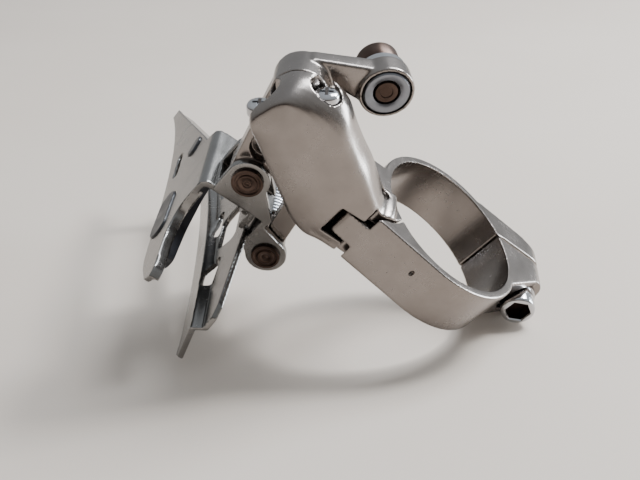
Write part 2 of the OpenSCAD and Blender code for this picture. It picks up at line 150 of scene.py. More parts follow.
def ramp(tree, value, stops):
    """Colour ramp whose stops are (place, colour)."""
    made = tree.nodes.new("ShaderNodeValToRGB")
    elements = made.color_ramp.elements
    while len(elements) < len(stops):
        elements.new(0.5)
    for element, (place, colour) in zip(elements, stops):
        element.position = place
        element.color = (*colour, 1)
    tree.links.new(value, made.inputs["Fac"])
    return made.outputs["Color"]


def span(tree, value, low, high, to_low, to_high):
    """Value mapped from one range to another."""
    made = node(tree, "ShaderNodeMapRange")
    for index, number in enumerate((low, high, to_low, to_high), start=1):
        made.inputs[index].default_value = number
    tree.links.new(value, made.inputs[0])
    return made.outputs[0]


def combine(tree, a, b, operation="ADD"):
    """Sum of two values, or another operation on them."""
    made = node(tree, "ShaderNodeMath", operation=operation)
    for index, item in enumerate((a, b)):
        tree.links.new(item, made.inputs[index])
    return made.outputs[0]


def stretched(tree, vector, scale, turn=(0, 0, 0)):
    """Vector scaled by a different amount along each axis, after a turn."""
    made = node(tree, "ShaderNodeMapping", Scale=scale, Rotation=turn)
    tree.links.new(vector, made.inputs["Vector"])
    return made.outputs["Vector"]


def bump(tree, shader, height, strength, distance):
    """Height, in metres at full strength, pressed into the shader's normal."""
    made = node(tree, "ShaderNodeBump", Strength=strength, Distance=distance)
    tree.links.new(height, made.inputs["Height"])
    tree.links.new(made.outputs["Normal"], shader.inputs["Normal"])


def blend(tree, amount, colour, other):
    """Colour mixed with a fixed one."""
    mix = node(tree, "ShaderNodeMix", data_type="RGBA")
    tree.links.new(amount, mix.inputs["Factor"])
    tree.links.new(colour, mix.inputs["A"])
    mix.inputs["B"].default_value = (*other, 1)
    return mix.outputs["Result"]


def metal(name, dark, light, rough, scratch, grime=None, spots=0.0):
    """Worn metal: mottled colour, uneven gloss, hairline scratches in two
    directions, grime where a coarse noise is deep, and small dark pits."""
    mat, tree, shader = new_material(name)
    shader.inputs["Metallic"].default_value = 1.0
    place = tree.nodes.new("ShaderNodeTexCoord").outputs["Object"]
    cloud = noise(tree, place, 150, 5)
    colour = ramp(tree, cloud, [(0.32, dark), (0.68, light)])
    fine = noise(tree, stretched(tree, place, (260, 1700, 260), (0.5, 0.2, 0.6)), 1.0, 3)
    cross = noise(tree, stretched(tree, place, (1500, 220, 1300), (0.1, 0.8, -0.4)), 1.0, 3)
    lines = combine(tree, fine, cross, "MULTIPLY")
    if grime:
        deep = noise(tree, place, 95, 6, 0.7)
        colour = blend(tree, span(tree, deep, 0.5, 0.85, 0.0, 0.5), colour, grime)
    if spots:
        pits = node(tree, "ShaderNodeTexVoronoi", Scale=420, Randomness=1.0)
        tree.links.new(place, pits.inputs["Vector"])
        dots = span(tree, pits.outputs["Distance"], 0.05, 0.11, spots, 0.0)
        colour = blend(tree, dots, colour, (0.05, 0.04, 0.035))
    tree.links.new(colour, shader.inputs["Base Color"])
    gloss = span(tree, combine(tree, cloud, lines), 0.4, 1.1, rough * 0.85, rough * 1.25)
    tree.links.new(gloss, shader.inputs["Roughness"])
    bump(tree, shader, lines, scratch, 0.00012)
    return mat


def nylon(name):
    """Moulded nylon: near black, with a fine grain."""
    mat, tree, shader = new_material(name)
    place = tree.nodes.new("ShaderNodeTexCoord").outputs["Object"]
    cloud = noise(tree, place, 300, 4)
    tree.links.new(ramp(tree, cloud, [(0.3, (0.010, 0.011, 0.016)), (0.7, (0.026, 0.028, 0.040))]),
                   shader.inputs["Base Color"])
    tree.links.new(span(tree, cloud, 0.3, 0.7, 0.28, 0.46), shader.inputs["Roughness"])
    shader.inputs["Specular IOR Level"].default_value = 0.7
    bump(tree, shader, noise(tree, place, 1800, 3), 0.25, 0.00008)
    return mat


forged = metal("forged_alloy", (0.250, 0.224, 0.208), (0.300, 0.270, 0.252), 0.24, 0.02,
               grime=(0.21, 0.18, 0.16), spots=0.1)
steel = metal("cage_steel", (0.215, 0.208, 0.20), (0.285, 0.277, 0.27), 0.24, 0.02,
              grime=(0.16, 0.135, 0.12))
nut_steel = metal("nut_steel", (0.17, 0.18, 0.20), (0.27, 0.28, 0.31), 0.3, 0.03)
spring_wire = metal("spring_steel", (0.45, 0.47, 0.50), (0.66, 0.68, 0.72), 0.24, 0.1)
brown = metal("brown_steel", (0.045, 0.030, 0.024), (0.115, 0.080, 0.066), 0.3, 0.1,
              grime=(0.02, 0.013, 0.01))
bronze = metal("bronze", (0.38, 0.25, 0.11), (0.55, 0.38, 0.18), 0.35, 0.2)
chrome = metal("chrome", (0.50, 0.50, 0.51), (0.66, 0.66, 0.68), 0.14, 0.04,
               grime=(0.22, 0.19, 0.17))
pin_steel = metal("pin_steel", (0.25, 0.24, 0.235), (0.42, 0.41, 0.40), 0.3, 0.2,
                  grime=(0.1, 0.08, 0.07))
black_nylon = nylon("black_nylon")
MATERIAL = {"forged_alloy": forged, "cage_steel": steel, "spring_steel": spring_wire,
            "brown_steel": brown, "bronze": bronze, "chrome": chrome,
            "pin_steel": pin_steel, "black_nylon": black_nylon}
SLOT = {part["node"]: part["material_slot"] for part in record["subparts"]}
BODY = {name: body for body, names in record["behaviour"]["bodies"].items() for name in names}


# ---------------------------------------------------------------- mesh helpers


def to_object(name, verts, faces):
    """A mesh object from points in millimetres."""
    mesh = bpy.data.meshes.new(name)
    mesh.from_pydata([[c * MM for c in v] for v in verts], [], faces)
    made = bpy.data.objects.new(name, mesh)
    bpy.context.collection.objects.link(made)
    bm = bmesh.new()
    bm.from_mesh(mesh)
    bmesh.ops.recalc_face_normals(bm, faces=bm.faces)
    bm.to_mesh(mesh)
    bm.free()
    return made


# Places a flat outline's two coordinates and a height along an axis
AXES = {"x": lambda a, b, h: (h, a, b), "y": lambda a, b, h: (a, h, b), "z": lambda a, b, h: (a, b, h)}


def loft(rings, axis="x"):
    """Closed solid through (outline, height) rings, with the same number of points each."""
    place = AXES[axis]
    count = len(rings[0][0])
    verts = [place(a, b, height) for outline, height in rings for a, b in outline]
    faces = [[r * count + i, r * count + (i + 1) % count, (r + 1) * count + (i + 1) % count,
              (r + 1) * count + i] for r in range(len(rings) - 1) for i in range(count)]
    last = (len(rings) - 1) * count
    faces += [list(range(count)), list(range(last, last + count))]
    return to_object("solid", verts, faces)


def prism(outline, low, high, axis="x"):
    """Straight solid on an outline."""
    return loft([(outline, low), (outline, high)], axis)


def circle(centre, radius, count=48, start=0.0, end=TAU):
    """Points of a circle, or of an arc with both its ends."""
    steps = count if end - start >= TAU - 1e-6 else count + 1
    return [(centre[0] + radius * math.cos(start + (end - start) * i / count),
             centre[1] + radius * math.sin(start + (end - start) * i / count))
            for i in range(steps)]


def rod(centre, low, high, radius, axis="x", count=64):
    """Round bar along an axis."""
    return prism(circle(centre, radius, count), low, high, axis)


def hull(points):
    """Convex hull of points in millimetres."""
    bm = bmesh.new()
    for p in points:
        bm.verts.new([c * MM for c in p])
    out = bmesh.ops.convex_hull(bm, input=bm.verts)
    bmesh.ops.delete(bm, geom=out["geom_interior"], context="VERTS")
    bmesh.ops.recalc_face_normals(bm, faces=bm.faces)
    mesh = bpy.data.meshes.new("hull")
    bm.to_mesh(mesh)
    bm.free()
    made = bpy.data.objects.new("hull", mesh)
    bpy.context.collection.objects.link(made)
    return made


def disc_points(centre, low, high, radius, count=32):
    """Rims of a disc across X, for a hull."""
    return [(h, a, b) for a, b in circle(centre, radius, count) for h in (low, high)]


def framed_disc(place, low, high, radius, count=32):
    """Rims of a disc across a frame's Z, for a hull."""
    return [place @ Vector((a, b, h)) for a, b in circle((0, 0), radius, count) for h in (low, high)]


def slot_outline(a, b, radius, count=16):
    """Outline of a slot with round ends between two points of a plane."""
    angle = math.atan2(b[1] - a[1], b[0] - a[0])
    return (circle(b, radius, count, angle - math.pi / 2, angle + math.pi / 2)
            + circle(a, radius, count, angle + math.pi / 2, angle + 3 * math.pi / 2))


def rounded(points, radius, steps=6):
    """Outline with its corners rounded. radius is one number or one per corner."""
    out = []
    count = len(points)
    for i, corner in enumerate(points):
        r = radius[i] if isinstance(radius, (list, tuple)) else radius
        here = Vector(corner)
        before = Vector(points[i - 1]) - here
        after = Vector(points[(i + 1) % count]) - here
        reach = min(r, before.length * 0.45, after.length * 0.45)
        start = here + before.normalized() * reach
        end = here + after.normalized() * reach
        for k in range(steps + 1):
            u = k / steps
            out.append(tuple(start * (1 - u) ** 2 + here * 2 * u * (1 - u) + end * u ** 2))
    return out


def smooth_loop(points, steps=5):
    """Closed curve through the points of an outline."""
    out = []
    count = len(points)
    for i in range(count):
        p0, p1, p2, p3 = (Vector(points[(i + k) % count]) for k in (-1, 0, 1, 2))
        for k in range(steps):
            u = k / steps
            out.append(tuple(0.5 * (2 * p1 + (p2 - p0) * u + (2 * p0 - 5 * p1 + 4 * p2 - p3) * u ** 2
                                    + (3 * p1 - p0 - 3 * p2 + p3) * u ** 3)))
    return out


def apply_modifier(obj, kind, **values):
    """Adds a modifier with these settings and makes its result the object's mesh."""
    made = obj.modifiers.new(kind.lower(), kind)
    for key, value in values.items():
        setattr(made, key, value)
    graph = bpy.context.evaluated_depsgraph_get()
    mesh = bpy.data.meshes.new_from_object(obj.evaluated_get(graph))
    obj.modifiers.clear()
    old = obj.data
    obj.data = mesh
    bpy.data.meshes.remove(old)


def drop(obj):
    """Removes an object and its mesh."""
    mesh = obj.data
    bpy.data.objects.remove(obj)
    bpy.data.meshes.remove(mesh)


def volume(obj):
    """Volume inside a closed mesh."""
    bm = bmesh.new()
    bm.from_mesh(obj.data)
    found = abs(bm.calc_volume())
    bm.free()
    return found


def cut(obj, cutters, operation="DIFFERENCE"):
    """Cuts with each solid in turn. A cut whose volume can't be right is made again with
    the other solver and the cutter moved a hair."""
    for cutter in cutters:
        before = obj.data.copy()
        start = volume(obj)
        most = volume(cutter) if operation == "DIFFERENCE" else start
        for solver in ("MANIFOLD", "EXACT") * 2:
            apply_modifier(obj, "BOOLEAN", object=cutter, operation=operation, solver=solver)
            left = volume(obj)
            if left > 0 and -1e-4 * start <= start - left <= most * 1.001:
                break
            obj.data = before.copy()
            cutter.data.transform(Matrix.Translation(Vector((0.013, -0.017, 0.011)) * MM))
        else:
            print("CUT FAILED", start, most)
        bpy.data.meshes.remove(before)
        drop(cutter)
    return obj


def join(pieces):
    """One object with all the pieces' faces."""
    bm = bmesh.new()
    for piece in pieces:
        bm.from_mesh(piece.data)
        drop(piece)
    mesh = bpy.data.meshes.new("joined")
    bm.to_mesh(mesh)
    bm.free()
    made = bpy.data.objects.new("joined", mesh)
    bpy.context.collection.objects.link(made)
    return made


def soften(pieces, voxel=0.22, rounds=8):
    """Melts overlapping solids into one with rounded edges, as a forging has."""
    made = join(pieces)
    apply_modifier(made, "REMESH", mode="VOXEL", voxel_size=voxel * MM, use_smooth_shade=True)
    apply_modifier(made, "SMOOTH", factor=0.5, iterations=rounds)
    return made


def ease_edges(obj, voxel=0.2, rounds=5):
    """Rounds the edges that cuts have left, as blasting and wear do."""
    apply_modifier(obj, "REMESH", mode="VOXEL", voxel_size=voxel * MM, use_smooth_shade=True)
    apply_modifier(obj, "SMOOTH", factor=0.5, iterations=rounds)


def trim_front(obj, limit):
    """Cuts off everything in front of a plane across X, and closes the cut."""
    bm = bmesh.new()
    bm.from_mesh(obj.data)
    everything = bm.verts[:] + bm.edges[:] + bm.faces[:]
    out = bmesh.ops.bisect_plane(bm, geom=everything, plane_co=(limit * MM, 0, 0), plane_no=(1, 0, 0),
                                 clear_outer=True)
    rim = [e for e in out["geom_cut"] if isinstance(e, bmesh.types.BMEdge)]
    bmesh.ops.holes_fill(bm, edges=rim)
    bm.to_mesh(obj.data)
    bm.free()


def lathe(profile, matrix, segments=64):
    """Turned part from (radius, height) points; height runs along the matrix's Z."""
    verts = []
    faces = []
    count = len(profile)
    for s in range(segments):
        angle = TAU * s / segments
        for radius, height in profile:
            verts.append(matrix @ Vector((radius * math.cos(angle), radius * math.sin(angle), height)))
    for s in range(segments):
        for i in range(count):
            j = (i + 1) % count
            t = (s + 1) % segments
            faces.append([s * count + i, s * count + j, t * count + j, t * count + i])
    made = to_object("turned", verts, faces)
    bm = bmesh.new()
    bm.from_mesh(made.data)
    bmesh.ops.remove_doubles(bm, verts=bm.verts, dist=1e-7)
    bmesh.ops.dissolve_degenerate(bm, edges=bm.edges, dist=1e-8)
    loose = [e for e in bm.edges if not e.link_faces]
    bmesh.ops.delete(bm, geom=loose, context="EDGES")
    bmesh.ops.recalc_face_normals(bm, faces=bm.faces)
    bm.to_mesh(made.data)
    bm.free()
    return made


def frame_at(origin, direction, up=(0, 0, 1)):
    """Matrix whose Z lies along direction and whose origin is in millimetres."""
    z = Vector(direction).normalized()
    x = Vector(up).cross(z)
    if x.length < 1e-4:
        x = Vector((1, 0, 0)).cross(z)
    x.normalize()
    y = z.cross(x)
    return Matrix(((x.x, y.x, z.x, origin[0]), (x.y, y.y, z.y, origin[1]),
                   (x.z, y.z, z.z, origin[2]), (0, 0, 0, 1)))


def along(pivot, x=0.0):
    """Frame on a pivot that lies along X."""
    return frame_at((x, pivot[0], pivot[1]), (1, 0, 0))


def chamfered(profile, bevel=0.12):
    """Profile with every corner eased by a small chamfer."""
    out = []
    for i, (r, h) in enumerate(profile):
        here = Vector((r, h))
        before = Vector(profile[i - 1]) - here
        after = Vector(profile[(i + 1) % len(profile)]) - here
        if r < 1e-6 or before.length < 1e-6 or after.length < 1e-6:
            out.append((r, h))
            continue
        ease = min(bevel, before.length * 0.4, after.length * 0.4)
        out.append(tuple(here + before.normalized() * ease))
        out.append(tuple(here + after.normalized() * ease))
    return out


SHARP = math.radians(35)


def stand_for(obj, name, node_name):
    """Makes a piece the visible shape of a CAD node, with its material and its body."""
    obj.name = name
    slot = SLOT[node_name]
    obj.data.materials.clear()
    obj.data.materials.append(MATERIAL[slot])
    for face in obj.data.polygons:
        face.use_smooth = True
    obj.data.set_sharp_from_angle(angle=SHARP)
    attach(obj, BODY[node_name])
    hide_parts(node_name)


# ---------------------------------------------------------------- body


# Hinge: ears and tongue, with the room each has. Then the body's face at the clamp, how
# far down the band swings, the places of the front's rings along X, the rear face of the
# room for the stop pads, and the limit screws' seats along their own axes
EAR_R = 5.8
EAR_ROOM = 6.2
TONGUE = 2.75
TONGUE_ROOM = 3.25
CLAMP_FACE = -8.2
SWING_ROOM = math.radians(14.5)
BODY_REAR = 4.5
SHOULDER = 6.2
FRONT = 13.1
CROWN = 0.9
STOP_ROOM = 4.1
HIGH_SEAT = -2.2
LOW_SEAT = 0.4

# Outlines of the body, seen from the front, as (Y, Z): its side wall, and the flatter face
# inside its round shoulder, point for point
BODY_BASE = [(-24, -6.6), (-27, -7), (-31, -5.6), (-35, -3), (-41.7, 1.3), (-45.4, 3.6), (-48.3, 5.6),
             (-49.1, 7.9), (-48.5, 10.6), (-47.6, 13.4), (-46.4, 15.6), (-44, 17.2), (-41, 18.1),
             (-38.2, 18.2), (-35.2, 17.2), (-32, 15.0), (-28.4, 12.8), (-25, 11), (-21.4, 8.6),
             (-18.2, 6.6), (-14.6, 5.8), (-14.6, -5.6), (-20, -5.8)]
BODY_FRONT = [(-24.2, -5.9), (-27, -6.3), (-30.9, -4.9), (-34.8, -2.4), (-41.2, 1.8), (-44.9, 4.3),
              (-47.4, 6.0), (-47.8, 8), (-47.4, 10.2), (-46.7, 12.2), (-45.0, 13.3), (-42.2, 12.4),
              (-39, 10.9), (-35.8, 9.6), (-32.4, 8.8), (-29.2, 8.2), (-26.3, 7.6), (-23.6, 6.8),
              (-20.7, 5.8), (-18.2, 5.0), (-15.4, 4.5), (-15.4, -4.8), (-20, -5.2)]
SPINE = (Vector((-42.5, 8.5)), Vector((-21, -0.5)))


def screw_frame(t):
    """Frame on a limit screw's axis, t across from the upper outer pivot."""
    return frame_at(Vector((mm_mid("high_limit_screw")[0], *PIVOT_C)) + SCREW_ACROSS * t, SCREW_AXIS)


def screw_t(name):
    """How far a limit screw lies across from the upper outer pivot."""
    _, y, z = mm_mid(name)
    return Vector((0, y - PIVOT_C[0], z - PIVOT_C[1])).dot(SCREW_ACROSS)


def stop_turn():
    """Turns a shape drawn round the upper outer pivot so that its Z follows the screws."""
    angle = math.atan2(-SCREW_AXIS.y, SCREW_AXIS.z)
    return Matrix.Translation(Vector((0, *PIVOT_C)) * MM) @ Matrix.Rotation(angle, 4, "X")


HIGH_T = screw_t("high_limit_screw")
LOW_T = screw_t("low_limit_screw")


def toward_spine(point, share):
    """A point of the front face, moved a share of its way to the face's spine."""
    start, end = SPINE
    here = Vector(point)
    u = (here - start).dot(end - start) / (end - start).length_squared
    return tuple(here.lerp(start.lerp(end, min(max(u, 0), 1)), share))


def body_front():
    """Front of the body: a round shoulder from its side wall, then a low crown."""
    base = smooth_loop(BODY_BASE)
    front = smooth_loop(BODY_FRONT)
    rings = [(base, BODY_REAR), (base, SHOULDER)]
    steps = 8
    for k in range(1, steps + 1):
        angle = math.pi / 2 * k / steps
        mix = 1 - math.cos(angle)
        rings.append(([tuple(Vector(a).lerp(Vector(b), mix)) for a, b in zip(base, front)],
                      SHOULDER + (FRONT - SHOULDER) * math.sin(angle)))
    for share in (0.2, 0.4, 0.6, 0.8, 0.95):
        rings.append(([toward_spine(p, share) for p in front],
                      FRONT + CROWN * math.sin(share * math.pi / 2)))
    return loft(rings)


def ring_sector(start, end, count=60):
    """Piece of the clamp's ring between two angles, in degrees."""
    a, b = math.radians(start), math.radians(end)
    outline = circle((0, 0), BAND_R, count, a, b) + circle((0, 0), BORE_R - 0.8, count, a, b)[::-1]
    return prism(outline, -HALF_H, HALF_H, "z")


def tab_trim(obj):
    """Rounds the ends of the clamp's tabs, seen along its bolt."""
    reach = 27.7
    outline = rounded([(-60, -HALF_H), (reach, -HALF_H), (reach, HALF_H), (-60, HALF_H)],
                      [0.1, 3.6, 3.6, 0.1])
    return cut(obj, [prism(outline, -40, 40)], "INTERSECT")


def past_ears():
    """Everything past the ears' round ends, as far down as the opened band swings."""
    y, far = HINGE[1], 30
    arc = circle(HINGE, EAR_R, 24, -SWING_ROOM, math.pi / 2)[::-1]
    beyond = [(HINGE[0] + far, y - far * math.tan(SWING_ROOM)), (HINGE[0] + far, y + far),
              (HINGE[0], y + far)]
    return prism(arc + beyond, -20, 20, "z")


def body_blanks():
    """Solids that melt into the body's forging."""
    back = prism([(-32.0, 13.2), (-26.7, 10.7), (-20.7, 7.2), (-17, 3), (-24.9, 3), (-24.9, 7),
                  (-31.2, 11)], 1.5, 6)
    ears = prism([(13.4, -26), (13.4, -11), (-3.6, -11), (-3.6, -26)], -HALF_H, HALF_H, "z")
    tab = prism([(CLAMP_FACE, 10), (CLAMP_FACE, 27.7), (-12.4, 26.1), (-14.2, 22), (-15.6, 9),
                 (-13, 8)], -HALF_H, HALF_H, "z")
    web = [(x, y, z) for x in (-5.9, -3.5) for y in (-18, -16) for z in (-5, 3)]
    lug = hull(disc_points(PIVOT_D, -5.9, -3.5, 4.0) + web)
    return [body_front(), back, ears, ring_sector(118, 262), tab_trim(tab), lug]


def clamp_room():
    """Room in the body for the seat tube, the band's tongue, its hinge pin and its bolt."""
    tongue = [(2.9, -18.2), (3.4, -14), (20, -10), (20, -25.2), (7.9, -25.2)]
    front_half = [(CLAMP_FACE, 0), (CLAMP_FACE, 50), (40, 50), (40, 0)]
    return [rod((0, 0), -30, 30, BORE_R, "z", 128), past_ears(),
            prism(tongue, -TONGUE_ROOM, TONGUE_ROOM, "z"), rod(HINGE, -3, 3, 3.4, "z"),
            rod(HINGE, -20, 20, 1.22, "z", 32), prism(front_half, -20, 20, "z"),
            rod((BOLT_Y, 0), -30, 0, 3.25), rod((BOLT_Y, 0), -30, -12.3, 4.6)]


def link_room():
    """Room in the body for the links' hubs and their pins."""
    return [rod(PIVOT_C, 2, 5.1, 6.4), rod(PIVOT_C, 0, 12.02, PIN_HOLE),
            rod(PIVOT_D, -10, 11.02, PIN_HOLE), rod(PIVOT_D, -3.35, 5.1, 4.2)]


def screw_room():
    """Room in the body for the stop pads and the limit screws, with their pockets."""
    stops = prism([(-10, -15), (8, -15), (8, -4.5), (-10, -4.5)], STOP_ROOM, STOP_ROOM + 5.7)
    stops.data.transform(stop_turn())
    top = 12
    open_side = [point for share, radius in ((0.06, 3.0), (-0.6, 3.6))
                 for point in framed_disc(screw_frame(HIGH_T + (LOW_T - HIGH_T) * share),
                                          HIGH_SEAT, top, radius)]
    rooms = [stops, hull(open_side)]
    for t, seat, wide in ((HIGH_T, HIGH_SEAT, 2.8), (LOW_T, LOW_SEAT, 2.65)):
        pocket = [(0, seat), (wide, seat), (wide + 0.15, top), (0, top)]
        rooms.append(lathe(pocket, screw_frame(t), 40))
        rooms.append(lathe([(0, -20), (1.75, -20), (1.75, 3), (0, 3)], screw_frame(t), 32))
    return rooms


def make_body():
    made = soften(body_blanks(), 0.22, 14)
    cut(made, clamp_room() + link_room() + screw_room())
    ease_edges(made)
    stand_for(made, "body_forging", "body")


# ---------------------------------------------------------------- band


BAND_FACE = -7.7
DENT_ANGLE = math.radians(-23.4)
DENT_Z = 1.65


def band_shoulder():
    """Front of the band where it thickens towards its hinge, seen from above."""
    arc = circle((0, 0), BAND_R, 20, math.radians(-12.5), math.radians(8))
    return ([(9.5, -21.5), (10.2, -23.2), (12.4, -23.4), (13.0, -22.6)] + arc
            + [(15, 0), (12, -9.5), (8.6, -13)])


def band_blanks():
    """Solids that melt into the band's forging."""
    shoulder = prism(band_shoulder(), -HALF_H, HALF_H, "z")
    cut(shoulder, [rod(HINGE, -20, 20, EAR_ROOM, "z")])
    knuckle = rod(HINGE, -TONGUE, TONGUE, 3.0, "z")
    tongue = prism([(9.8, -23.3), (12.4, -23.4), (13.05, -22.4), (14.2, -17), (12, -12), (9, -12),
                    (4.6, -15.9), (5.2, -20.9)], -TONGUE, TONGUE, "z")
    tab = prism([(BAND_FACE, 12), (BAND_FACE, 27.7), (-1.3, 27.7), (-1.2, 25), (5.8, 16.4), (5, 14)],
                -HALF_H, HALF_H, "z")
    return [shoulder, knuckle, tongue, tab_trim(tab), ring_sector(-42, 116.5)]


def band_room():
    """Room in the band for the seat tube, the body's ears, the hinge pin and the bolt."""
    rooms = [rod((0, 0), -30, 30, BORE_R, "z", 128), rod(HINGE, -20, 20, 1.25, "z", 32)]
    for low, high in ((TONGUE, 20), (-20, -TONGUE)):
        rooms.append(rod(HINGE, low, high, EAR_ROOM, "z"))
        rooms.append(prism([(0, 0), (30, -40), (30, -60), (0, -60)], low, high, "z"))
    rooms += [rod((BOLT_Y, 0), -20, 20, 2.75), rod((BOLT_Y, 0), -1.3, 20, 4.3)]
    rear_half = [(BAND_FACE, 0), (BAND_FACE, 50), (-60, 50), (-60, -60), (0, -60), (0, 0)]
    return rooms + [prism(rear_half, -20, 20, "z")]


def dent():
    """Small knock in the front of the band."""
    outward = Vector((math.cos(DENT_ANGLE), math.sin(DENT_ANGLE), 0))
    place = frame_at(outward * BAND_R + Vector((0, 0, DENT_Z)), outward)
    return lathe([(0, -0.4), (0.3, -0.28), (0.62, 0.1), (0.9, 0.6), (0, 0.6)],
                 place @ Matrix.Diagonal((0.6, 1.0, 1.0, 1.0)), 24)


def make_band():
    made = soften(band_blanks(), 0.2, 8)
    cut(made, band_room())
    ease_edges(made)
    cut(made, [dent()])
    stand_for(made, "band_forging", "clamp_band")


# ---------------------------------------------------------------- links


def boss_frame():
    """Frame on the cable boss's axis, its origin in the boss's face."""
    return frame_at(BOSS_AT, BOSS_AXIS)


def between(a, b, share):
    """Point a share of the way from one point of a plane to another."""
    return tuple(p + (q - p) * share for p, q in zip(a, b))


def stop_pads():
    """Pads of the outer link that meet the limit screws."""
    pads = []
    for outline in (((-0.6, -9.4), (7.0, -9.4), (7.0, -4.75), (2.2, -4.75), (-0.6, -6.2)),
                    ((-5.4, -13), (-0.4, -13), (-0.4, -8.6), (-5.4, -9.2))):
        pad = prism(rounded(outline, 0.4, 3), 2.95, 9.1)
        pad.data.transform(stop_turn())
        pads.append(pad)
    return pads


def make_outer_link():
    hub = rod(PIVOT_C, -2.2, 5.8, 5.3)
    eye = rod(PIVOT_A, -3, 3, 4.0)
    leg = hull(disc_points(PIVOT_C, -2.2, 2.2, 4.9) + disc_points(PIVOT_A, -2.2, 2.6, 3.9))
    root = [(x, y, z) for x in (-2.2, 1.0)
            for y, z in ((-45.2, 16.2), (-38.7, 15.4), (-40, 17.2), (-44, 17.4))]
    arm = hull(root + framed_disc(boss_frame(), -4.2, -0.6, 4.3))
    boss = hull(framed_disc(boss_frame(), -4.6, 0, 5.2, 48))
    made = soften([hub, eye, leg, arm, boss], 0.2, 16)
    trim_front(made, 4.95)
    groove = slot_outline(between(PIVOT_C, PIVOT_A, 0.4), between(PIVOT_C, PIVOT_A, 0.68), 2.9)
    cut(made, [prism(groove, 0.8, 5), rod(PIVOT_C, -5, 8, BUSH_HOLE), rod(PIVOT_A, -5, 8, BUSH_HOLE),
               lathe([(0, -9), (2.5, -9), (2.5, 3), (0, 3)], boss_frame(), 48),
               lathe([(0, -1.2), (4.6, -1.2), (4.6, 3), (0, 3)], boss_frame(), 64)])
    made = join([made] + stop_pads())
    ease_edges(made, 0.18, 4)
    stand_for(made, "outer_link_forging", "outer_link")


def make_inner_link():
    made = soften([rod(PIVOT_D, -3.2, 4.9, 3.8), rod(PIVOT_B, -4.4, 2.9, 3.6),
                   prism(slot_outline(PIVOT_D, PIVOT_B, 2.2), 0.3, 2.9)], 0.18, 6)
    cut(made, [rod(PIVOT_D, -10, 10, BUSH_HOLE), rod(PIVOT_B, -10, 10, BUSH_HOLE)])
    stand_for(made, "inner_link_forging", "inner_link")


# ---------------------------------------------------------------- cage


# Circles, as (X, Z), of the two plates' lower edges and of the inner plate's pressed step
EDGE_AT = (5, -184.8)
EDGE_R = 150
INNER_EDGE_AT = (19.6, -231.2)
INNER_EDGE_R = 191.4
FOLD_AT = (34.8, -229.9)
FOLD_R = 200
STEP = 1.8
STEP_RUN = 1.9
BEND_Z = -19.4
BIG_WINDOW = ((-4.6, -31.4), (2.4, -32))
SMALL_WINDOW = ((-19.9, -25), (-18.6, -26.2))


def edge_arc(centre, radius, start_x, end_x, count):
    """Points of a plate's lower edge, between two places along X."""
    return [(x, centre[1] + math.sqrt(radius ** 2 - (x - centre[0]) ** 2))
            for x in (start_x + (end_x - start_x) * i / count for i in range(count + 1))]


def strip(path, width):
    """Outline of a band that lies on the right of a path."""
    inner = []
    for i, p in enumerate(path):
        a = Vector(path[max(i - 1, 0)])
        b = Vector(path[min(i + 1, len(path) - 1)])
        along_path = (b - a).normalized()
        inner.append((p[0] + along_path.y * width, p[1] - along_path.x * width))
    return list(path) + inner[::-1]


def rivet_holes():
    """Cutters for the bracket's rivets."""
    return [rod(place, -40, -20, RIVET_HOLE, "y", 32) for place in RIVETS]


def bridge():
    """Channel that joins the two plates over the chain."""
    inner = INNER_FACE - SHEET
    top = BRIDGE_TOP
    channel = rounded([(OUTER_FACE, BEND_Z - 0.5), (OUTER_FACE, top), (inner, top), (inner, -20.9),
                       (inner - SHEET, -20.9), (inner - SHEET, top - SHEET),
                       (OUTER_FACE + SHEET, top - SHEET), (OUTER_FACE + SHEET, BEND_Z - 0.5)],
                      [0.1, 4.4, 2.4, 0.4, 0.4, 1.2, 3.2, 0.1], 8)
    return prism(channel, -15, 3.2)


def make_outer_plate():
    front = rounded([(20.9, -28.6), (18.8, -27.05), (8.4, -26.9), (3.9, -24.2), (3.2, BEND_Z)],
                    [0.8, 1.2, 4, 3, 0.1], 6)
    tail = [(-15, BEND_Z), (-16.8, -20.4), (-57.5, -45.0), (-61, -47.0)]
    lower = edge_arc(EDGE_AT, EDGE_R, -60.4, 7, 40) + [(11.5, -34.3), (14.9, -33.2), (19.4, -30.9)]
    wall = prism(front[3:] + tail + lower, OUTER_FACE, OUTER_FACE + SHEET, "y")
    windows = [slot_outline(*BIG_WINDOW, 3), slot_outline(*SMALL_WINDOW, 1.7),
               slot_outline((-23.5, -32.9), (-16, -32.4), 1)]
    cut(wall, [prism(window, OUTER_FACE - 2, OUTER_FACE + 3, "y") for window in windows])
    flange = strip([(-56.5, -44.4), (-16.8, -20.3), (-15.4, -19.6)], 1.0)
    lip = strip(front[::-1][2:-3], 1.0)
    rims = [prism(flange, OUTER_FACE + 0.2, OUTER_FACE + 4, "y"),
            prism(lip, OUTER_FACE + 0.2, OUTER_FACE + 2.1, "y")]
    made = soften([wall, bridge()] + rims, 0.2, 7)
    cut(made, rivet_holes())
    stand_for(made, "outer_cage_pressing", "cage_outer_plate")


def fold_offset(x, z):
    """How far the inner plate's pressed step moves a point along Y."""
    r = math.hypot(x - FOLD_AT[0], z - FOLD_AT[1]) - FOLD_R
    if r > STEP_RUN:
        return 0.0
    if r > 0:
        u = r / STEP_RUN
        return -STEP * (1 - u * u * (3 - 2 * u))
    return -STEP + min(-r, 9) / 9 * (STEP + 0.9)


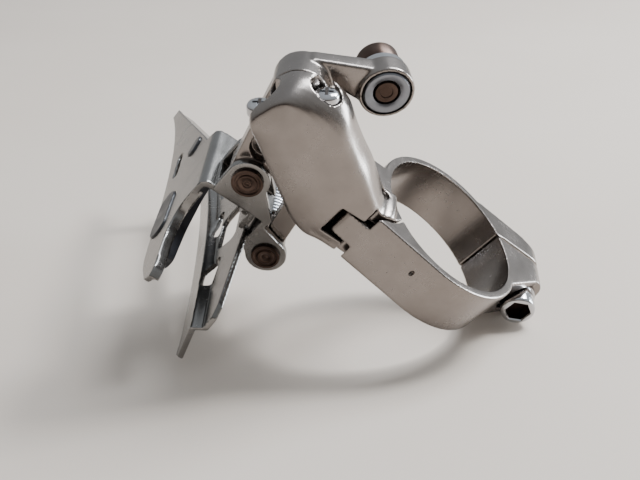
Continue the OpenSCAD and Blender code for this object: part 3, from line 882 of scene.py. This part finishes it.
def make_inner_plate():
    nose = [(22.5, -24.1), (24.6, -25.6), (25.3, -28), (25.4, -38.2), (23.6, -39.9)]
    tail = [(-46.5, -51.0), (-50.6, -50.2), (-52.3, -46), (-51.4, -41.5), (-47.5, -38.0), (-22, -24)]
    top = [(-15, BRIDGE_TOP), (1, BRIDGE_TOP), (3.3, -19.7)]
    outline = nose + edge_arc(INNER_EDGE_AT, INNER_EDGE_R, 20, -38, 30) + tail + top
    made = prism(outline, INNER_FACE - SHEET, INNER_FACE, "y")
    low, high = -36, -26
    windows = [hull([(x, y, z) for y in (low, high)
                     for corner in ((-7.2, -25.7), (0.4, -25.5), (-0.4, -29), (-6.8, -28.9))
                     for x, z in circle(corner, 1.7, 24)])]
    for a, b, radius in (((-12.5, -32.6), (-6, -32.2), 1.1), ((6, -29.2), (11.4, -30.4), 1.3),
                         ((-34, -37), (-22, -33.5), 1.7)):
        windows.append(prism(slot_outline(a, b, radius), low, high, "y"))
    cut(made, windows)
    made = soften([made], 0.24, 3)
    for v in made.data.vertices:
        v.co.y += fold_offset(v.co.x / MM, v.co.z / MM) * MM
    cut(made, rivet_holes() + [rod((SPACER_X, SPACER_Z), -40, -20, 1.25, "y", 32)])
    stand_for(made, "inner_cage_pressing", "cage_inner_plate")


def make_bracket():
    ear = 1.6
    sheet = 1.3
    front = 3.2
    rear = mm_box("cage_bracket")[0][0]
    outer = -42.8
    near = INNER_FACE + 0.02
    inner = INNER_FACE + sheet
    top = BRIDGE_TOP + 0.02
    parts = []
    for low in (front, -front - ear):
        parts.append(rod(PIVOT_A, low, low + ear, 4.3))
        parts.append(prism([(outer, top), (-43, PIVOT_A[1]), (-34.4, PIVOT_A[1]), (inner, top + sheet),
                            (inner, top)], low, low + ear))
    for low in (front, rear):
        parts.append(rod(PIVOT_B, low, low + ear, 4.2))
        parts.append(prism([(near, -22.4), (-27.5, -25.5), (PIVOT_B[0], -17.8), (near, -16)],
                           low, low + ear))
    for outline, low in (([(outer, top), (inner, top), (inner, top + sheet), (outer, top + sheet)],
                          -front - ear),
                         ([(near, -22.5), (inner, -22.5), (inner, top + sheet), (near, top + sheet)],
                          rear)):
        parts.append(prism(outline, low, front + ear))
    made = soften(parts, 0.17, 4)
    head_seat = front + 1
    cut(made, [rod(PIVOT_A, -20, 20, PIN_HOLE), rod(PIVOT_B, -20, 20, PIN_HOLE),
               rod(PIVOT_A, head_seat, 20, 3.15), rod(PIVOT_B, head_seat, 20, 2.95)] + rivet_holes())
    stand_for(made, "pivot_bracket", "cage_bracket")


def make_pad():
    outline = rounded([(13, -29), (5.4, -27), (-1, -23), (-4, -19.2), (-14.8, -20.8), (-19, -23.4),
                       (-26.8, -28.3), (-25, -31), (-14, -34), (-2, -34.8), (8, -34.8),
                       (12.4, -32.6)], 1.5, 4)
    low = OUTER_FACE + SHEET + 0.02
    parts = [prism(outline, low, low + 2.85, "y")]
    for window, radius in ((BIG_WINDOW, 2.9), (SMALL_WINDOW, 1.6)):
        parts.append(prism(slot_outline(*window, radius, 20), OUTER_FACE - 0.38, low + 0.6, "y"))
    stand_for(soften(parts, 0.18, 6), "glide_pad_moulding", "glide_pad")


# ---------------------------------------------------------------- turned parts


def headed_pin(node_name, pivot, head_r):
    """Pivot pin with a groove for its clip at the rear and a dished, riveted head."""
    x0, x1 = (corner[0] for corner in mm_box(node_name))
    profile = [(0, x0), (2, x0), (2, x0 + 0.5), (1.55, x0 + 0.5), (1.55, x0 + 1.2), (2, x0 + 1.2),
               (2, x1 - 1.3), (head_r, x1 - 1.3), (head_r, x1), (head_r - 0.55, x1),
               (head_r - 0.65, x1 - 0.3), (head_r - 1.15, x1 - 0.3), (head_r - 1.25, x1 - 0.02),
               (0.95, x1 - 0.02), (0.85, x1 - 0.28), (0.45, x1 - 0.28), (0.35, x1 - 0.1), (0, x1 - 0.1)]
    made = lathe(chamfered(profile, 0.09), along(pivot), 72)
    stand_for(made, node_name + "_turned", node_name)


def cross_recess(matrix, top, size, depth):
    """Tapered cross that a screwdriver fits, pointing down from the head's top."""
    pieces = []
    for turn in (0, math.pi / 2):
        spin = Matrix.Rotation(turn, 4, "Z")
        points = []
        for height, half, width in ((top + 0.3, size, 0.36), (top - depth, size * 0.35, 0.2)):
            for sx in (-1, 1):
                for sy in (-1, 1):
                    points.append(matrix @ spin @ Vector((sx * half, sy * width, height)))
        pieces.append(hull(points))
    return pieces


def make_limit_screw(node_name, t, seat):
    place = screw_frame(t)
    head_low = seat + 0.2
    head_high = head_low + 2.2
    tip = -4.5
    thread = [(0, tip), (1.25, tip)]
    height = tip + 0.35
    while height < head_low - 0.6:
        thread += [(1.7, height), (1.45, height + 0.22)]
        height += 0.45
    profile = thread + [(1.55, head_low), (2.3, head_low), (2.3, head_high - 0.75),
                        (2.05, head_high - 0.35), (1.5, head_high - 0.08), (0, head_high)]
    made = lathe(profile, place, 48)
    cut(made, cross_recess(place, head_high, 1.45, 1.2))
    stand_for(made, node_name + "_turned", node_name)


def make_clamp_bolt():
    x0, x1 = BOLT_REAR, BOLT_FRONT
    head = x1 - 4.4
    depth = 3
    profile = [(0, x0), (2.1, x0), (2.5, x0 + 0.5), (2.5, head), (3.3, head), (3.6, head + 0.3),
               (3.6, x1 - 0.7), (3.5, x1 - 0.35), (3.2, x1 - 0.06), (2.9, x1), (0, x1)]
    made = lathe(profile, along((BOLT_Y, 0)), 96)
    hexagon = circle((0, 0), 2.62, 6, math.pi / 6, TAU + math.pi / 6)
    mouth = [(a * 1.16, b * 1.16) for a, b in hexagon]
    socket = loft([(hexagon, x1 - depth), (hexagon, x1 - 0.25), (mouth, x1 + 0.2)], "z")
    socket.data.transform(frame_at((0, BOLT_Y * MM, 0), (1, 0, 0)))
    cut(made, [socket])
    stand_for(made, "clamp_bolt_turned", "clamp_bolt")
    made.data.materials.append(brown)
    for face in made.data.polygons:
        x, y, z = face.center / MM
        if x1 - depth - 0.1 < x < x1 - 0.3 and math.hypot(y - BOLT_Y, z) < 2.6:
            face.material_index = 1


def washer(name, node_name, matrix, inner, outer, low, high):
    profile = chamfered([(inner, low), (outer, low), (outer, high), (inner, high)])
    stand_for(lathe(profile, matrix, 72), name, node_name)


def make_cable_parts():
    place = boss_frame()
    shank = 2.45
    profile = [(0, -11.2), (3.6, -11.2), (4.1, -10.7), (4.1, -6.7), (3.9, -6.4), (3.9, -6.19),
               (shank, -6.19)]
    height = -4.4
    while height < -0.9:
        profile += [(shank, height), (shank - 0.25, height + 0.25)]
        height += 0.5
    profile += [(2.3, -0.75), (2.05, -0.32), (1.2, -0.32), (1.1, -0.5), (0, -0.5)]
    stand_for(lathe(profile, place, 72), "cable_bolt_turned", "cable_bolt")
    washer("cable_washer_turned", "cable_washer", place, 2.56, 4.8, -6.16, -4.65)
    nut = [(2.56, -1.17), (4.28, -1.17), (4.28, -0.15), (4.05, 0.08), (3.75, 0.1), (3.35, 0.02),
           (2.95, -0.08), (2.56, -0.35)]
    made = lathe(nut, place, 96)
    stand_for(made, "cable_nut_turned", "cable_nut")
    made.data.materials[0] = nut_steel


def make_hinge_pin():
    low, high = -HALF_H, HALF_H
    profile = [(0, low + 0.32), (1.0, low + 0.32), (1.19, low + 0.5), (1.19, high - 0.35),
               (1.0, high - 0.22), (0.55, high - 0.22), (0.3, high - 0.6), (0, high - 0.6)]
    made = lathe(profile, frame_at((*HINGE, 0), (0, 0, 1)), 48)
    stand_for(made, "hinge_pin_turned", "band_hinge_pin")


def make_spring():
    """Coil round the lower inner pin, as wide and as long as the CAD spring."""
    low, high = mm_box("return_spring")
    wire = 0.47
    mean = (high[1] - low[1]) / 2 - wire
    front, rear = high[0] - wire, low[0] + wire
    turns = 9
    steps = 40 * turns
    sides = 12
    path = [(front + (rear - front) * i / steps, PIVOT_B[0] + mean * math.cos(TAU * turns * i / steps),
             PIVOT_B[1] + mean * math.sin(TAU * turns * i / steps)) for i in range(steps + 1)]
    verts, faces = [], []
    for i, p in enumerate(path):
        before = Vector(path[max(i - 1, 0)])
        after = Vector(path[min(i + 1, steps)])
        outward = Vector((0, p[1] - PIVOT_B[0], p[2] - PIVOT_B[1])).normalized()
        side = (after - before).cross(outward).normalized()
        for a, b in circle((0, 0), wire, sides):
            verts.append(Vector(p) + outward * a + side * b)
    for i in range(steps):
        for k in range(sides):
            n = (k + 1) % sides
            faces.append([i * sides + k, i * sides + n, (i + 1) * sides + n, (i + 1) * sides + k])
    faces += [list(range(sides)), list(range(steps * sides, (steps + 1) * sides))]
    stand_for(to_object("spring", verts, faces), "return_spring_wire", "return_spring")


# ---------------------------------------------------------------- build


make_body()
make_band()
make_outer_link()
make_inner_link()
make_outer_plate()
make_inner_plate()
make_bracket()
make_pad()
headed_pin("lower_outer_pin", PIVOT_A, 3.1)
headed_pin("lower_inner_pin", PIVOT_B, 2.9)
make_limit_screw("high_limit_screw", HIGH_T, HIGH_SEAT)
make_limit_screw("low_limit_screw", LOW_T, LOW_SEAT)
make_clamp_bolt()
washer("clamp_washer_turned", "clamp_washer", along((BOLT_Y, 0)), 2.72, 4.0, -1.29, -0.72)
make_cable_parts()
make_hinge_pin()
make_spring()

# CAD nodes that keep their shape get their slot's material
for name, obj in frame["nodes"].items():
    obj.data.materials.clear()
    obj.data.materials.append(MATERIAL[SLOT[name]])


# ---------------------------------------------------------------- stage


def make_floor():
    """Pale table top under the points that the part rests on. Its underside is
    clear, so that views from below the tilted table still show the part."""
    normal = Vector((-0.25, -0.61, 0.75)).normalized()
    lowest = min((o.matrix_world @ v.co).dot(normal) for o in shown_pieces() for v in o.data.vertices)
    place = frame_at((0, 0, 0), normal)
    centre = normal * lowest
    half = 1.6
    corners = [place.to_3x3() @ Vector((sx * half, sy * half, 0)) + centre
               for sx, sy in ((-1, -1), (1, -1), (1, 1), (-1, 1))]
    floor = to_object("floor", [c / MM for c in corners], [[0, 1, 2, 3]])
    if floor.data.polygons[0].normal.dot(normal) < 0:
        floor.data.flip_normals()
    mat, tree, shader = new_material("floor")
    place = tree.nodes.new("ShaderNodeTexCoord").outputs["Object"]
    colour = ramp(tree, noise(tree, place, 6, 3), [(0.3, (0.62, 0.54, 0.47)), (0.7, (0.66, 0.58, 0.51))])
    tree.links.new(colour, shader.inputs["Base Color"])
    shader.inputs["Roughness"].default_value = 0.6
    clear = tree.nodes.new("ShaderNodeBsdfTransparent")
    side = tree.nodes.new("ShaderNodeNewGeometry")
    mix = tree.nodes.new("ShaderNodeMixShader")
    tree.links.new(side.outputs["Backfacing"], mix.inputs[0])
    tree.links.new(shader.outputs[0], mix.inputs[1])
    tree.links.new(clear.outputs[0], mix.inputs[2])
    tree.links.new(mix.outputs[0], tree.nodes["Material Output"].inputs["Surface"])
    floor.data.materials.append(mat)
    floor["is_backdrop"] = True


def soft_light(name, place, aim, size, power, colour):
    """Rectangular light that looks at a point."""
    data = bpy.data.lights.new(name, "AREA")
    data.shape = "RECTANGLE"
    data.size, data.size_y = size
    data.energy = power
    data.color = colour
    light = bpy.data.objects.new(name, data)
    bpy.context.collection.objects.link(light)
    light.matrix_world = frame_at(place, Vector(place) - Vector(aim))


def make_world():
    """Soft room: bright and cool overhead, dim and warm low down and in front."""
    world = bpy.data.worlds.new("studio")
    bpy.context.scene.world = world
    world.use_nodes = True
    tree = world.node_tree
    shader = tree.nodes["Background"]
    place = tree.nodes.new("ShaderNodeTexCoord").outputs["Generated"]
    toward = node(tree, "ShaderNodeVectorMath", operation="DOT_PRODUCT")
    toward.inputs[1].default_value = (-0.60, -0.38, 0.70)
    tree.links.new(place, toward.inputs[0])
    colour = ramp(tree, span(tree, toward.outputs["Value"], -1, 1, 0, 1),
                  [(0.0, (0.06, 0.045, 0.035)), (0.42, (0.12, 0.10, 0.09)), (0.62, (0.42, 0.43, 0.43)),
                   (0.97, (0.55, 0.59, 0.63))])
    tree.links.new(colour, shader.inputs["Color"])
    shader.inputs["Strength"].default_value = 1.0


def make_camera():
    """Camera at the photograph's angle; its axes are right, up and back."""
    data = bpy.data.cameras.new("camera")
    data.lens = 50.6
    camera = bpy.data.objects.new("camera", data)
    bpy.context.collection.objects.link(camera)
    forward = Vector((-0.767, 0.353, -0.535)).normalized()
    right = forward.cross(Vector((-0.637, -0.511, 0.577))).normalized()
    up = right.cross(forward)
    place = (0.14173, -0.08255, 0.08406)
    camera.matrix_world = Matrix(((right.x, up.x, -forward.x, place[0]),
                                  (right.y, up.y, -forward.y, place[1]),
                                  (right.z, up.z, -forward.z, place[2]), (0, 0, 0, 1)))
    bpy.context.scene.camera = camera


make_world()
make_camera()
make_floor()
soft_light("ceiling", (-0.62, -0.10, 0.90), (0, -0.02, 0), (0.7, 0.45), 15.0, (0.90, 0.95, 1.0))
soft_light("window", (-0.35, 0.60, 0.57), (0, -0.03, 0), (0.34, 0.34), 9.0, (0.86, 0.94, 1.0))
soft_light("lamp", (-0.28, 0.02, 0.56), (0, -0.02, 0), (0.10, 0.10), 3.0, (0.95, 0.98, 1.0))
